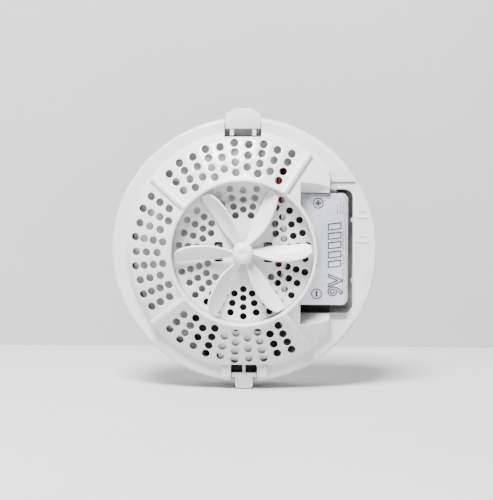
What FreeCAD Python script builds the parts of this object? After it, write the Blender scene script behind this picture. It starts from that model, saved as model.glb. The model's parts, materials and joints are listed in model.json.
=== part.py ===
import FreeCAD, Part
import os
from math import acos, cos, pi, radians, sin, sqrt, tan

# Wall-mounted smoke detector with a small sampling fan and a side battery bay.
# The shapes are drawn flat, as seen from the front: x to the right, y up, and the
# third number is the depth away from the wall. save() turns them to stand on a
# wall that is the plane Y = 0, with the front looking along -Y and +Z up.

# --- driving dimensions, in millimetres and degrees ---
FLANGE_R = 55.0
FLANGE_FRONT = 25.0
FLANGE_THICK = 1.6
FLANGE_ROUND = 1.0
SHELL_R = 55.3
SHELL_WALL = 2.0
SHELL_BACK = 3.4
SHELL_FLOOR = 5.2
SPIGOT_WALL = 1.5
SPIGOT_DEEP = 2.8
FIT_GAP = 0.2
SLOT_GAP = 0.5
SLOT_SPARE = 1.0
POST_FOOT_R = 3.6
POST_NECK_R = 2.6
POST_BORE_R = 1.1
TOP_NOTCH = (-8.3, 7.5, 21.6)
BOTTOM_NOTCH = (-5.6, 5.6, 17.0)
SHELF = (-8.2, 7.4, 47.6, 15.8, 17.4)
LAMP_HOLE_R = 1.5

DOME_BASE_R = 47.9
DOME_BASE_D = 28.27
DOME_FOOT_R = 50.0
DOME_INSIDE_R = 46.4
DOME_SPHERE_R = 84.0
DOME_WALL = 1.4
DOME_HOLE_R = 1.65
DOME_ROW_STEP = 7.745
DOME_ROWS_EACH_SIDE = 15
RIB_ROWS = (-16, -5, 5, 16)
RIB_R = 1.7
DOME_HOLES_FOUR = (33.4, 37.5, 41.6, 45.4)
DOME_HOLES_THREE = (35.5, 40.2, 44.6)

WELL_IN = 29.4
WELL_OUT = 31.0
WELL_TOP = 38.6
WELL_BOTTOM = 29.1
WELL_CROWN = 0.8
WELL_SEAM = (1.0, 0.6, -9.0)

GRILLE_FRONT = 31.6
GRILLE_THICK = 2.0
GRILLE_R = WELL_IN - 0.1
GRILLE_HOLE_R = 1.45
GRILLE_ROWS = 30
GRILLE_HOLES_FOUR = (15.5, 19.25, 23.05, 26.85)
GRILLE_HOLES_THREE = (17.7, 21.8, 25.8)
WINDOW_IN = 8.5
WINDOW_OUT = 11.9
WINDOW_PEAK = 12.7
WINDOW_HALF = 4.2

CUT_LEFT = 23.7
CUT_RIGHT = 35.8
CUT_TOP = 30.2
CUT_LOW = -29.8
CUT_R = 50.8
CUT_DEEP = 3.0
UPPER_SHELF_D = 29.8
UPPER_HOLLOW_R = 4.3
LOWER_SLOPE = (26.2, 32.2)
FUNNEL_END = 33.0
RECESS_TOP = 29.0
RECESS_LOW = -28.8
RECESS_DEEP = 0.8
RECESS_GROOVE = (46.2, 0.45, 0.35)
SEAT_R = 53.0
SEAT_THICK = 1.4
SEAT_MARGIN = 1.5
OPENING_RIGHT = 45.4
OPENING_LOW = -26.1
OPENING_TOP = 25.8
OPENING_ROUND = 3.5
LEDGE_Y = 24.7
LEDGE_UNDER = 28.9

BATTERY_LEFT = 17.2
BATTERY_WIDE = 26.2
BATTERY_LOW = -22.2
BATTERY_TALL = 46.4
BATTERY_BACK = 11.0
BATTERY_DEEP = 17.5
BATTERY_ROUND = 2.0
BATTERY_SHOULDER = 2.8
LABEL_THICK = 0.15
SNAP_SPACING = 12.7
SNAP_TALL = 2.4
SNAP_STUD_R = 2.8
SNAP_SOCKET_R = 3.6
SNAP_SOCKET_BORE_R = 2.5
SNAP_FLOOR = 0.5
SNAP_WAIST = (0.6, 0.8, 0.4)

BAY_LEFT = 16.9
BAY_RIGHT = 45.8
BAY_LOW = -26.2
BAY_TOP = 28.4
BAY_WALL = 1.2
BAY_BACK = 7.3
BAY_FLOOR = 8.6
BAY_FRONT = 22.6
BAY_ROUND_R = 52.2
BAY_RIB_BACK = 20.0
BAY_RIB_IN = 44.6
SNAP_POCKET = (30.0, 42.0, 25.3, 27.4, 23.5)
BAY_CORNER_THICK = 0.9
BAY_PAD = (34.0, 43.0, 2.0, 0.3)
BAY_PAD_LOWS = (-19.0, 17.0)
BAY_RIB_TALL = 1.6
BAY_RIB_LOWS = (-13.4, 12.0)
FOAM_RIGHT = 36.0
FOAM_FRONT = 21.5
FOAM_GAP = 0.4
PARTITION = (-22.0, 19.5, 29.5)
PARTITION_LIP = (0.9, 0.7)
LINER = (29.0, 29.2, 23.0, 0.7)
CONTACT_BLOCK = (19.5, 41.0, 27.3, 11.0, 22.5)
CONTACT_THICK = 0.35
CONTACT_HALF = 4.0
CONTACT_BACK = 14.0

PLATE_R = 48.0
PLATE_THICK = 2.6
CABLE_HOLE_R = 14.0
SCREW_SPACING = 60.0
SCREW_SLOT_R = 2.25
SCREW_SLOT_LONG = 10.0
HOOK_ANGLES = (60.0, 180.0, 300.0)
HOOK_HALF = 6.0
HOOK_IN = 38.0
HOOK_STEM_OUT = 40.0
HOOK_LIP_OUT = 42.0
HOOK_LIP_LOW = 5.6
HOOK_TOP = 7.0
TWIST = 15.0

SHAFT_R = 0.75
SHAFT_FRONT = 37.0
BUSH_BORE_R = 0.80
MOTOR_R = 10.0
MOTOR_BACK = 16.6
MOTOR_FRONT = 27.6
MOTOR_WALL = 0.7
HUB_R = 4.45
HUB_BACK = 32.4
HUB_FRONT = 40.0
HUB_CURVE = ((HUB_R, 37.8), (3.6, 39.3), (1.6, HUB_FRONT))
HUB_DIMPLE = ((1.6, HUB_FRONT), (1.1, 39.85), (0.5, 39.7))
SHAFT_BACK = 17.2
ARMATURE = (7.4, 19.4, 25.4)
ARMATURE_SLOTS = 3
ARMATURE_SLOT = (3.4, 8.0, 0.8)
COMMUTATOR = (2.2, 18.4)
MOTOR_NOSE = (3.0, 28.8)
BUSH = (2.0, 26.6, 28.9)
END_CAP_FRONT = 18.0
END_CAP_BORE_BACK = 17.1
MAGNET = (8.1, 130.0, 19.0, 26.0)
MAGNET_STARTS = (25.0, 205.0)
CRADLE_R = 11.6
CRADLE_BACK = 14.2
CRADLE_FRONT = 20.4
CRADLE_SEAT_R = 7.5
CRADLE_LEG = (1.8, 10.6, 14.6)
CRADLE_ARM_HALF = 3.2
CRADLE_ARM = (
    (10.15, 18.0),
    (11.6, 18.0),
    (11.6, 30.4),
    (10.9, 30.9),
    (8.8, 28.9),
    (8.8, 27.8),
    (10.15, 27.8),
)
LEAD_R = 0.5
LEAD_X = 5.0
LEAD_Y = 3.0
BLADES = 6
BLADE_THICK = 0.9
BLADE_MID = 35.5
BLADE_PITCH = 42.0
BLADE_CAMBER = 0.09

BOARD_BACK = 9.2
BOARD_THICK = 1.6
BOARD_R = 50.0
BOARD_RIGHT = 13.6
BOARD_FRONT = BOARD_BACK + BOARD_THICK
BAFFLE_BACK = 23.8
BAFFLE_THICK = 1.2
BAFFLE_R = 46.5
BAFFLE_CORNER = (24.0, 34.6)
MOTOR_HOLE_R = 12.4
SCREW_HEAD_R = 2.4
SCREW_HEAD_TALL = 1.3
SCREW_SLOT_HALF = 0.3
SCREW_SLOT_DEEP = 0.6
SCREW_TIP = 13.0
POSTS = ((-29.0, 31.0), (-29.0, -31.0), (4.0, 41.6))
CHAMBER = (-3.0, -30.5)
CHAMBER_R = 17.6
CHAMBER_BACK = 11.0
CHAMBER_FRONT = 23.0
CHAMBER_FLOOR = 12.6
CHAMBER_FOOT_R = 12.0
CHAMBER_LID = 1.4
CHAMBER_CAP = (4.5, 0.2, 0.6)
VANES = 20
VANE = (0.45, 2.6, 40.0, 14.2)
SCREEN_IN = 0.05
SCREEN_THICK = 0.3
OPTIC = (1.5, 3.5, 14.4, 1.6, 16.0)
SOUNDER = (-30.0, 9.0)
SOUNDER_R = 15.0
SOUNDER_FRONT = 20.2
SOUNDER_WALL = 1.2
SOUNDER_HOLE_R = 3.0
SOUNDER_DISC = (14.0, 14.4)
SOUNDER_SEAT_WIDE = 1.7
CHIP = (-12.0, -4.0, 17.0, 24.0, 0.2, 2.0)
CHIP_PINS = 5
PIN_PITCH = 1.6
PIN_HALF = 0.3
PIN_LONG = 1.6
PIN_TALL = 0.9
RESISTORS = 4
RESISTOR_PITCH = 4.0
RESISTOR_R = 1.0
RESISTOR_LONG = 5.0
RESISTOR_LOW = 28.5
RESISTOR_WIRE = 0.25
HOUSING = (-10.6, 9.6, -47.5, -32.6, 23.7)
HOUSING_GAP = 0.3
BUTTON_ANGLE = 193.8
BUTTON_DEPTH = 15.0
BUTTON_R = 2.6
BUTTON_FACE = 56.4
BUTTON_COLLAR = (3.4, 50.4, 51.6)
BUTTON_STEM = (1.2, 46.6, 50.6)
SWITCH_LUG = (1.2, 44.6, 45.4)
SWITCH_BODY = (-4.0, 4.2, -3.0, 3.0, 40.6, 44.6)
LED_ANGLE = 288.4
PIPE = (1.4, 46.0, 56.2)
LED_BULB = (1.5, 44.0, 45.8)
LED_COLLAR = (1.8, 43.2, 44.0)
LED_LEG_Y = 0.7
LATCH_GAP = 0.3
LATCH_MARK_LOWS = (3.6, 13.9)
BLOCK_X = 7.5
BLOCK_SHIFT = 0.2
BLOCK_HALF = 2.2
BLOCK_Y = (-53.2, -48.1)
BLOCK_FRONT = 1.6
FIN_HALF = 0.4
FIN_LOW = -54.3
FIN_FRONT = 0.9
TOP_WINDOW = (-8.1, 7.3, 47.6)
BOTTOM_WINDOW = (5.45, -47.6)
TAB_MIDDLE = -0.4
TAB_HALF = 7.3
TAB_LOW = 51.0
TAB_SIDE_TOP = 56.7
TAB_FLAT = 2.65
TAB_TOP = 59.4
TAB_BEND = (5.1, 58.45)
TAB_THICK = 1.5
TAB_ARMS = (-5.0, 4.3)
TAB_ARM_HALF = 0.8
TAB_ARM_LOW = 48.1
LATCH_BAR = (5.1, -53.3, -51.4)
LATCH_STEM = (3.6, -58.0, 1.2)
LATCH_ARM = (0.6, -48.0)
WIRE_R = 0.65
RED_TOP = 33.0
RED_X = 15.0
RED_D = 26.6
BLACK_D = 13.6
BIG = 80.0

DOME_CENTRE = DOME_BASE_D - sqrt(DOME_SPHERE_R**2 - DOME_BASE_R**2)
FLANGE_BACK = FLANGE_FRONT - FLANGE_THICK
SHELL_IN = SHELL_R - SHELL_WALL
SPIGOT_OUT = SHELL_IN - FIT_GAP
RECESS_FACE = FLANGE_FRONT - RECESS_DEEP
BATTERY_RIGHT = BATTERY_LEFT + BATTERY_WIDE
BATTERY_TOP = BATTERY_LOW + BATTERY_TALL
BATTERY_FRONT = BATTERY_BACK + BATTERY_DEEP
BATTERY_X = (BATTERY_LEFT + BATTERY_RIGHT) / 2
BATTERY_MID = (BATTERY_BACK + BATTERY_FRONT) / 2
POSITIVE_X = BATTERY_X + SNAP_SPACING / 2
NEGATIVE_X = BATTERY_X - SNAP_SPACING / 2


def point(x, y, d):
    return FreeCAD.Vector(x, y, d)


AXIS = point(0, 0, 1)


# --- small drawing helpers ---
def box(x0, x1, y0, y1, d0, d1):
    return Part.makeBox(x1 - x0, y1 - y0, d1 - d0, point(x0, y0, d0))


def rod(radius, d0, d1, x=0.0, y=0.0):
    return Part.makeCylinder(radius, d1 - d0, point(x, y, d0))


def tube(outer, inner, d0, d1, x=0.0, y=0.0):
    return rod(outer, d0, d1, x, y).cut(rod(inner, d0 - 1, d1 + 1, x, y))


def prism(outline, d0, d1):
    corners = [point(x, y, d0) for x, y in outline]
    return Part.Face(Part.makePolygon(corners + corners[:1])).extrude(point(0, 0, d1 - d0))


def side_prism(outline, x0, x1):
    """A prism along x from an outline of (y, depth) corners."""
    corners = [point(x0, y, d) for y, d in outline]
    return Part.Face(Part.makePolygon(corners + corners[:1])).extrude(point(x1 - x0, 0, 0))


def turned(edges):
    """A solid of revolution about the axis from a closed run of edges in the x-depth plane."""
    return Part.Face(Part.Wire(edges)).revolve(point(0, 0, 0), AXIS, 360)


def line(start, end):
    return Part.LineSegment(point(start[0], 0, start[1]), point(end[0], 0, end[1])).toShape()


def arc(start, middle, end):
    ends = [point(r, 0, d) for r, d in (start, middle, end)]
    return Part.Arc(*ends).toShape()


def around(shape, angle, centre=(0.0, 0.0)):
    copy = shape.copy()
    copy.rotate(point(centre[0], centre[1], 0), AXIS, angle)
    return copy


def moved(shape, x, y, d=0.0):
    copy = shape.copy()
    copy.translate(point(x, y, d))
    return copy


def joined(shapes):
    whole = shapes[0]
    for shape in shapes[1:]:
        whole = whole.fuse(shape)
    return whole.removeSplitter()


def polar(radius, angle):
    return radius * cos(radians(angle)), radius * sin(radians(angle))


def sector(outer, inner, first, last, d0, d1):
    """Part of a flat ring between two angles."""
    piece = Part.makeCylinder(outer, d1 - d0, point(0, 0, d0), AXIS, last - first)
    piece.rotate(point(0, 0, 0), AXIS, first)
    return piece.cut(rod(inner, d0 - 1, d1 + 1))


def wire_tube(corners, radius, bend):
    """A round wire along straight runs joined by tangent arcs."""
    corners = [point(*c) for c in corners]
    edges = []
    start = corners[0]
    for before, here, after in zip(corners, corners[1:], corners[2:]):
        back = (before - here).normalize()
        ahead = (after - here).normalize()
        turn = pi - acos(max(-1.0, min(1.0, back.dot(ahead))))
        reach = bend * tan(turn / 2)
        entry = here + back * reach
        leave = here + ahead * reach
        inside = (back + ahead).normalize()
        middle = here + inside * (bend / cos(turn / 2) - bend)
        edges.append(Part.LineSegment(start, entry).toShape())
        edges.append(Part.Arc(entry, middle, leave).toShape())
        start = leave
    edges.append(Part.LineSegment(start, corners[-1]).toShape())
    path = Part.Wire(edges)
    ring = Part.Wire(Part.makeCircle(radius, corners[0], corners[1] - corners[0]))
    return path.makePipe(Part.Face(ring))


def sphere_depth(radius, sphere=DOME_SPHERE_R):
    """Depth of a sphere about the dome's centre, at a distance from the axis."""
    return DOME_CENTRE + sqrt(sphere**2 - radius**2)


def save(node, shape):
    solid = shape.copy()
    solid.rotate(point(0, 0, 0), point(1, 0, 0), 90)
    if not solid.isValid():
        print("not valid:", node)
    print(f"{node}: {len(solid.Solids)} solid(s), {solid.Volume:.1f} mm3")
    solid.exportStep(f"parts/{node}.step")


# --- wall bracket ---
def screw_slot(x):
    reach = SCREW_SLOT_LONG / 2 - SCREW_SLOT_R
    bar = box(x - reach, x + reach, -SCREW_SLOT_R, SCREW_SLOT_R, -1, PLATE_THICK + 1)
    ends = [rod(SCREW_SLOT_R, -1, PLATE_THICK + 1, x + side * reach) for side in (-1, 1)]
    return joined([bar] + ends)


def mounting_plate():
    plate = tube(PLATE_R, CABLE_HOLE_R, 0, PLATE_THICK)
    for side in (-1, 1):
        plate = plate.cut(screw_slot(side * SCREW_SPACING / 2))
    hooks = []
    for angle in HOOK_ANGLES:
        first, last = angle - HOOK_HALF, angle + HOOK_HALF
        hooks.append(sector(HOOK_STEM_OUT, HOOK_IN, first, last, PLATE_THICK - 1, HOOK_TOP))
        hooks.append(sector(HOOK_LIP_OUT, HOOK_IN, first, last, HOOK_LIP_LOW, HOOK_TOP))
    return joined([plate] + hooks)


# --- rear shell ---
def bayonet_slot(angle):
    """A narrow slot that the locked hook stands in, and the wide end that lets it out."""
    low, high = SHELL_BACK - 1, SHELL_FLOOR + 1
    inner = HOOK_IN - SLOT_GAP
    first = angle - TWIST - HOOK_HALF - SLOT_SPARE
    last = angle + HOOK_HALF + SLOT_SPARE
    wide_end = first + 2 * (HOOK_HALF + SLOT_SPARE)
    narrow = sector(HOOK_STEM_OUT + SLOT_GAP, inner, first, last, low, high)
    wide = sector(HOOK_LIP_OUT + SLOT_GAP, inner, first, wide_end, low, high)
    return narrow.fuse(wide)


def post(x, y):
    """A post that the circuit board rests on and the baffle is screwed to."""
    foot = rod(POST_FOOT_R, SHELL_FLOOR - 0.5, BOARD_BACK, x, y)
    neck = rod(POST_NECK_R, SHELL_FLOOR, BAFFLE_BACK, x, y)
    return foot.fuse(neck).cut(rod(POST_BORE_R, SHELL_FLOOR + 1, BIG, x, y))


def side_hole(radius, angle, depth):
    """A radial hole through the shell's side wall."""
    start = point(*polar(SHELL_IN - 5, angle), depth)
    return Part.makeCylinder(radius, 10, start, point(*polar(1, angle), 0))


def rear_shell():
    edges = [
        line((0, SHELL_BACK), (SHELL_R - 1.5, SHELL_BACK)),
        arc((SHELL_R - 1.5, SHELL_BACK), (SHELL_R - 0.44, SHELL_BACK + 0.44), (SHELL_R, SHELL_BACK + 1.5)),
        line((SHELL_R, SHELL_BACK + 1.5), (SHELL_R, FLANGE_BACK)),
        line((SHELL_R, FLANGE_BACK), (SHELL_IN, FLANGE_BACK)),
        line((SHELL_IN, FLANGE_BACK), (SHELL_IN, SHELL_FLOOR)),
        line((SHELL_IN, SHELL_FLOOR), (0, SHELL_FLOOR)),
        line((0, SHELL_FLOOR), (0, SHELL_BACK)),
    ]
    shell = turned(edges)
    for angle in HOOK_ANGLES:
        shell = shell.cut(bayonet_slot(angle))
    left, right, back = TOP_NOTCH
    shell = shell.cut(box(left, right, SHELL_IN - 3, BIG, back, BIG))
    left, right, back = BOTTOM_NOTCH
    shell = shell.cut(box(left, right, -BIG, 3 - SHELL_IN, back, BIG))
    left, right, low, back, front = SHELF
    shell = shell.fuse(box(left, right, low, SHELL_IN + 0.5, back, front))
    shell = shell.cut(side_hole(BUTTON_R + LATCH_GAP, BUTTON_ANGLE, BUTTON_DEPTH))
    shell = shell.cut(side_hole(LAMP_HOLE_R, LED_ANGLE, BUTTON_DEPTH))
    return joined([shell] + [post(x, y) for x, y in POSTS])


# --- front cover ---
def dome_solid():
    """Everything under the dome's outer surface."""
    edges = [
        line((0, FLANGE_BACK), (DOME_BASE_R, FLANGE_BACK)),
        line((DOME_BASE_R, FLANGE_BACK), (DOME_BASE_R, DOME_BASE_D)),
        arc((DOME_BASE_R, DOME_BASE_D), (27.0, sphere_depth(27.0)), (0, sphere_depth(0))),
        line((0, sphere_depth(0)), (0, FLANGE_BACK)),
    ]
    return turned(edges)


def flange_and_dome():
    inner = DOME_SPHERE_R - DOME_WALL
    joint = (WELL_IN + WELL_OUT) / 2
    inner_base = DOME_INSIDE_R
    mid = 40.0
    foot_in = DOME_INSIDE_R + 1.2
    edges = [
        line((foot_in, FLANGE_BACK), (FLANGE_R, FLANGE_BACK)),
        line((FLANGE_R, FLANGE_BACK), (FLANGE_R, FLANGE_FRONT - FLANGE_ROUND)),
        arc(
            (FLANGE_R, FLANGE_FRONT - FLANGE_ROUND),
            (FLANGE_R - 0.293 * FLANGE_ROUND, FLANGE_FRONT - 0.293 * FLANGE_ROUND),
            (FLANGE_R - FLANGE_ROUND, FLANGE_FRONT),
        ),
        line((FLANGE_R - FLANGE_ROUND, FLANGE_FRONT), (DOME_FOOT_R, FLANGE_FRONT)),
        arc(
            (DOME_FOOT_R, FLANGE_FRONT),
            (DOME_FOOT_R - 0.65, FLANGE_FRONT + 0.35),
            (DOME_FOOT_R - 1.0, FLANGE_FRONT + 1.0),
        ),
        line((DOME_FOOT_R - 1.0, FLANGE_FRONT + 1.0), (DOME_BASE_R + 0.3, DOME_BASE_D - 0.6)),
        arc(
            (DOME_BASE_R + 0.3, DOME_BASE_D - 0.6),
            (DOME_BASE_R - 0.3, DOME_BASE_D),
            (DOME_BASE_R - 1.0, sphere_depth(DOME_BASE_R - 1.0)),
        ),
        arc(
            (DOME_BASE_R - 1.0, sphere_depth(DOME_BASE_R - 1.0)),
            (mid, sphere_depth(mid)),
            (joint, sphere_depth(joint)),
        ),
        line((joint, sphere_depth(joint)), (joint, sphere_depth(joint, inner))),
        arc(
            (joint, sphere_depth(joint, inner)),
            (mid, sphere_depth(mid, inner)),
            (inner_base, sphere_depth(inner_base, inner)),
        ),
        line((inner_base, sphere_depth(inner_base, inner)), (foot_in, FLANGE_BACK)),
    ]
    return turned(edges)


def well_ring():
    top = WELL_TOP - WELL_CROWN
    joint = (WELL_IN + WELL_OUT) / 2
    edges = [
        line((WELL_IN, WELL_BOTTOM), (WELL_OUT, WELL_BOTTOM)),
        line((WELL_OUT, WELL_BOTTOM), (WELL_OUT, top)),
        arc((WELL_OUT, top), (joint, WELL_TOP), (WELL_IN, top)),
        line((WELL_IN, top), (WELL_IN, WELL_BOTTOM)),
    ]
    wide, deep, angle = WELL_SEAM
    notch = box(WELL_OUT - deep, WELL_OUT + 1, -wide / 2, wide / 2, WELL_TOP - 4, WELL_TOP + 1)
    return turned(edges).cut(around(notch, angle))


def dome_rib(row):
    """A round ridge that follows the dome from the well to the flange."""
    ring = Part.makeTorus(DOME_SPHERE_R, RIB_R, point(0, 0, DOME_CENTRE), point(0, 1, 0))
    ridge = ring.common(box(WELL_OUT - 0.6, DOME_BASE_R + 0.8, -5, 5, 20, 50))
    ridge = ridge.cut(Part.makeSphere(DOME_SPHERE_R - DOME_WALL, point(0, 0, DOME_CENTRE)))
    return around(ridge, 180 + row * DOME_ROW_STEP)


def dome_holes():
    holes = []
    for row in range(-DOME_ROWS_EACH_SIDE, DOME_ROWS_EACH_SIDE + 1):
        if row in RIB_ROWS:
            continue
        radii = DOME_HOLES_FOUR if row % 2 else DOME_HOLES_THREE
        for radius in radii:
            x, y = polar(radius, 180 + row * DOME_ROW_STEP)
            middle = sphere_depth(radius)
            holes.append(rod(DOME_HOLE_R, middle - 4, middle + 2, x, y))
    return Part.makeCompound(holes)


def upper_hollow():
    """The scoop above the battery: flat at the battery's edge and curving forward to the dome."""
    middle = UPPER_SHELF_D + UPPER_HOLLOW_R
    length = CUT_RIGHT - CUT_LEFT + 1
    scoop = Part.makeCylinder(UPPER_HOLLOW_R, length, point(CUT_LEFT, LEDGE_Y, middle), point(1, 0, 0))
    return scoop.fuse(box(CUT_LEFT, CUT_LEFT + length, LEDGE_Y, LEDGE_Y + UPPER_HOLLOW_R, middle, BIG))


def funnel_walls(under_dome):
    """The walls above and below the battery, and the dome's edge walls beside them."""
    lower = [
        (OPENING_LOW, FLANGE_BACK),
        (OPENING_LOW, LOWER_SLOPE[0]),
        (CUT_LOW, LOWER_SLOPE[1]),
        (-FUNNEL_END, BIG),
        (-FUNNEL_END, FLANGE_BACK),
    ]
    left = CUT_LEFT - DOME_WALL
    side = CUT_RIGHT - DOME_WALL
    walls = [
        box(left, CUT_RIGHT, LEDGE_Y, FUNNEL_END, LEDGE_UNDER, BIG).cut(upper_hollow()),
        side_prism(lower, left, CUT_RIGHT),
        box(left, CUT_LEFT, 15, FUNNEL_END, LEDGE_UNDER, BIG),
        box(left, CUT_LEFT, -FUNNEL_END, -15, LEDGE_UNDER, BIG),
        box(side, CUT_RIGHT, FUNNEL_END - 1, 36, FLANGE_BACK, BIG),
        box(side, CUT_RIGHT, -36, 1 - FUNNEL_END, FLANGE_BACK, BIG),
    ]
    inside_well = rod((WELL_IN + WELL_OUT) / 2, 0, BIG)
    return [wall.common(under_dome).cut(inside_well) for wall in walls]


def bay_opening():
    """The window that the battery shows through, with rounded outer corners."""
    block = box(10, OPENING_RIGHT, OPENING_LOW, OPENING_TOP, 15, LEDGE_UNDER)
    corners = [e for e in block.Edges if e.BoundBox.XMin > OPENING_RIGHT - 0.01 and e.BoundBox.ZLength > 1]
    return block.makeFillet(OPENING_ROUND, corners)


def latch_marks():
    """Fine raised lines beside the opening."""
    back, front = RECESS_FACE - 0.5, RECESS_FACE + 0.3
    marks = []
    for low in LATCH_MARK_LOWS:
        marks.append(box(46.9, 51.7, low, low + 0.5, back, front))
        marks.append(box(48.0, 50.6, low + 2.6, low + 3.0, back, front))
    return marks


def latch_blocks():
    """Two soft blocks beside the bottom latch, each with a fin below it."""
    back = FLANGE_BACK + 0.2
    front = FLANGE_FRONT + BLOCK_FRONT
    low, high = BLOCK_Y
    blocks = []
    for side in (-1, 1):
        x = BLOCK_X * side + BLOCK_SHIFT
        block = box(x - BLOCK_HALF, x + BLOCK_HALF, low, high, back, front)
        rim = [e for e in block.Edges if e.BoundBox.ZMin > front - 0.1]
        blocks.append(block.makeFillet(0.6, rim))
        blocks.append(box(x - FIN_HALF, x + FIN_HALF, FIN_LOW, low + 0.2, back, FLANGE_FRONT + FIN_FRONT))
    return blocks


def bay_seat():
    """The sunken plate round the battery's opening."""
    plate = rod(CUT_R + 0.1, FLANGE_BACK, FLANGE_FRONT).common(box(CUT_RIGHT - 2, BIG, -40, 40, 0, BIG))
    low, high = RECESS_LOW - SEAT_MARGIN, RECESS_TOP + SEAT_MARGIN
    seat = rod(SEAT_R, RECESS_FACE - SEAT_THICK, RECESS_FACE)
    return [plate, seat.common(box(CUT_RIGHT - 2, BIG, low, high, 0, BIG))]


def cover_spigot():
    spigot = tube(SPIGOT_OUT, SPIGOT_OUT - SPIGOT_WALL, FLANGE_BACK - SPIGOT_DEEP, FLANGE_BACK + 0.5)
    return spigot.cut(box(14, BIG, -31, 31, 0, BIG))


def latch_windows():
    """Openings in the flange for the two edge latches, and the pocket over the battery's snaps."""
    left, right, low = TOP_WINDOW
    half, high = BOTTOM_WINDOW
    x0, x1, y0, y1, front = SNAP_POCKET
    return [
        box(left, right, low, BIG, 15, FLANGE_FRONT + 5),
        box(-half, half, -BIG, high, 15, FLANGE_FRONT + 5),
        box(x0, x1, y0, y1, 15, front),
    ]


def front_cover():
    under_dome = dome_solid()
    cover = flange_and_dome()
    cover = cover.cut(box(CUT_RIGHT, BIG, -BIG, BIG, FLANGE_FRONT, BIG))
    over_battery = box(CUT_LEFT, BIG, CUT_LOW, CUT_TOP, FLANGE_FRONT - CUT_DEEP, BIG)
    cover = cover.cut(over_battery.common(rod(CUT_R, 0, BIG)))
    cover = cover.cut(dome_holes())
    ribs = [dome_rib(row) for row in RIB_ROWS]
    walls = funnel_walls(under_dome)
    cover = joined([cover, cover_spigot()] + bay_seat() + walls + ribs + latch_blocks())
    cover = cover.cut(box(CUT_RIGHT, BIG, RECESS_LOW, RECESS_TOP, RECESS_FACE, BIG))
    right, wide, deep = RECESS_GROOVE
    cover = cover.cut(box(CUT_RIGHT, right, RECESS_TOP - wide, RECESS_TOP, RECESS_FACE - deep, BIG))
    cover = cover.cut(rod((WELL_IN + WELL_OUT) / 2, 26, 34))
    cover = joined([cover, well_ring()] + latch_marks())
    cover = cover.cut(bay_opening())
    for window in latch_windows():
        cover = cover.cut(window)
    return cover


# --- fan grille ---
def cradle_window(side):
    outline = [
        (side * WINDOW_IN, -WINDOW_HALF),
        (side * WINDOW_OUT, -WINDOW_HALF),
        (side * WINDOW_PEAK, 0),
        (side * WINDOW_OUT, WINDOW_HALF),
        (side * WINDOW_IN, WINDOW_HALF),
    ]
    return prism(outline, 20, 40)


def fan_grille():
    back = GRILLE_FRONT - GRILLE_THICK
    disc = rod(GRILLE_R, back, GRILLE_FRONT)
    holes = [rod(2.2, 20, 40), cradle_window(-1), cradle_window(1)]
    for row in range(GRILLE_ROWS):
        radii = GRILLE_HOLES_FOUR if row % 2 else GRILLE_HOLES_THREE
        for radius in radii:
            x, y = polar(radius, 90 + row * 360 / GRILLE_ROWS)
            holes.append(rod(GRILLE_HOLE_R, back - 1, GRILLE_FRONT + 1, x, y))
    return disc.cut(Part.makeCompound(holes))


# --- impeller and motor ---
def blade_section(radius, wide, offset):
    """A thin curved strip square to the radius; wide is its width seen from the front."""
    lean = radians(BLADE_PITCH)
    chord = wide / cos(lean)
    half, thin = chord / 2, BLADE_THICK / 2
    bow = BLADE_CAMBER * chord

    def place(along, across):
        y = offset + along * cos(lean) + across * sin(lean)
        return point(radius, y, BLADE_MID - along * sin(lean) + across * cos(lean))

    back = Part.Arc(place(-half, -thin), place(0, -thin - bow), place(half, -thin))
    front = Part.Arc(place(half, thin), place(0, thin - bow), place(-half, thin))
    ends = [
        Part.LineSegment(place(half, -thin), place(half, thin)),
        Part.LineSegment(place(-half, thin), place(-half, -thin)),
    ]
    return Part.Wire([edge.toShape() for edge in (back, ends[0], front, ends[1])])


def blade():
    stations = (
        (3.4, 1.8, 0.3),
        (9.6, 4.4, -0.1),
        (15.7, 5.9, -0.25),
        (21.7, 5.8, 0.2),
        (26.5, 4.6, 1.1),
        (28.4, 2.0, 1.5),
    )
    return Part.makeLoft([blade_section(*s) for s in stations], True, False)


def impeller():
    flat_r, flat_d = HUB_DIMPLE[2]
    edges = [
        line((0, HUB_BACK), (HUB_R, HUB_BACK)),
        line((HUB_R, HUB_BACK), HUB_CURVE[0]),
        arc(*HUB_CURVE),
        arc(*HUB_DIMPLE),
        line((flat_r, flat_d), (0, flat_d)),
        line((0, flat_d), (0, HUB_BACK)),
    ]
    hub = turned(edges).cut(rod(SHAFT_R, HUB_BACK - 1, SHAFT_FRONT))
    one = blade().cut(rod(HUB_R - 0.4, 0, BIG))
    blades = [around(one, turn * 360 / BLADES) for turn in range(BLADES)]
    return joined([hub] + blades)


def motor_shaft():
    return rod(SHAFT_R, SHAFT_BACK, SHAFT_FRONT)


def motor_armature():
    """The slotted core with the commutator behind it."""
    radius, back, front = ARMATURE
    inner, outer, half = ARMATURE_SLOT
    core = tube(radius, SHAFT_R, back, front)
    slot = box(inner, outer, -half, half, back - 1, front + 1)
    for turn in range(ARMATURE_SLOTS):
        core = core.cut(around(slot, turn * 360 / ARMATURE_SLOTS))
    commutator_r, commutator_back = COMMUTATOR
    return core.fuse(tube(commutator_r, SHAFT_R, commutator_back, back))


def motor_can():
    nose_r, nose_front = MOTOR_NOSE
    can = rod(MOTOR_R, MOTOR_BACK, MOTOR_FRONT).fuse(rod(nose_r, MOTOR_FRONT, nose_front))
    can = can.cut(rod(MOTOR_R - MOTOR_WALL, MOTOR_BACK - 1, MOTOR_FRONT - MOTOR_WALL))
    return can.cut(rod(BUSH[0], 0, BIG))


def motor_bush():
    radius, back, front = BUSH
    return tube(radius, BUSH_BORE_R, back, front)


def motor_end_cap():
    cap = rod(MOTOR_R - MOTOR_WALL, MOTOR_BACK, END_CAP_FRONT)
    return cap.cut(rod(BUSH_BORE_R, END_CAP_BORE_BACK, BIG))


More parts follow.
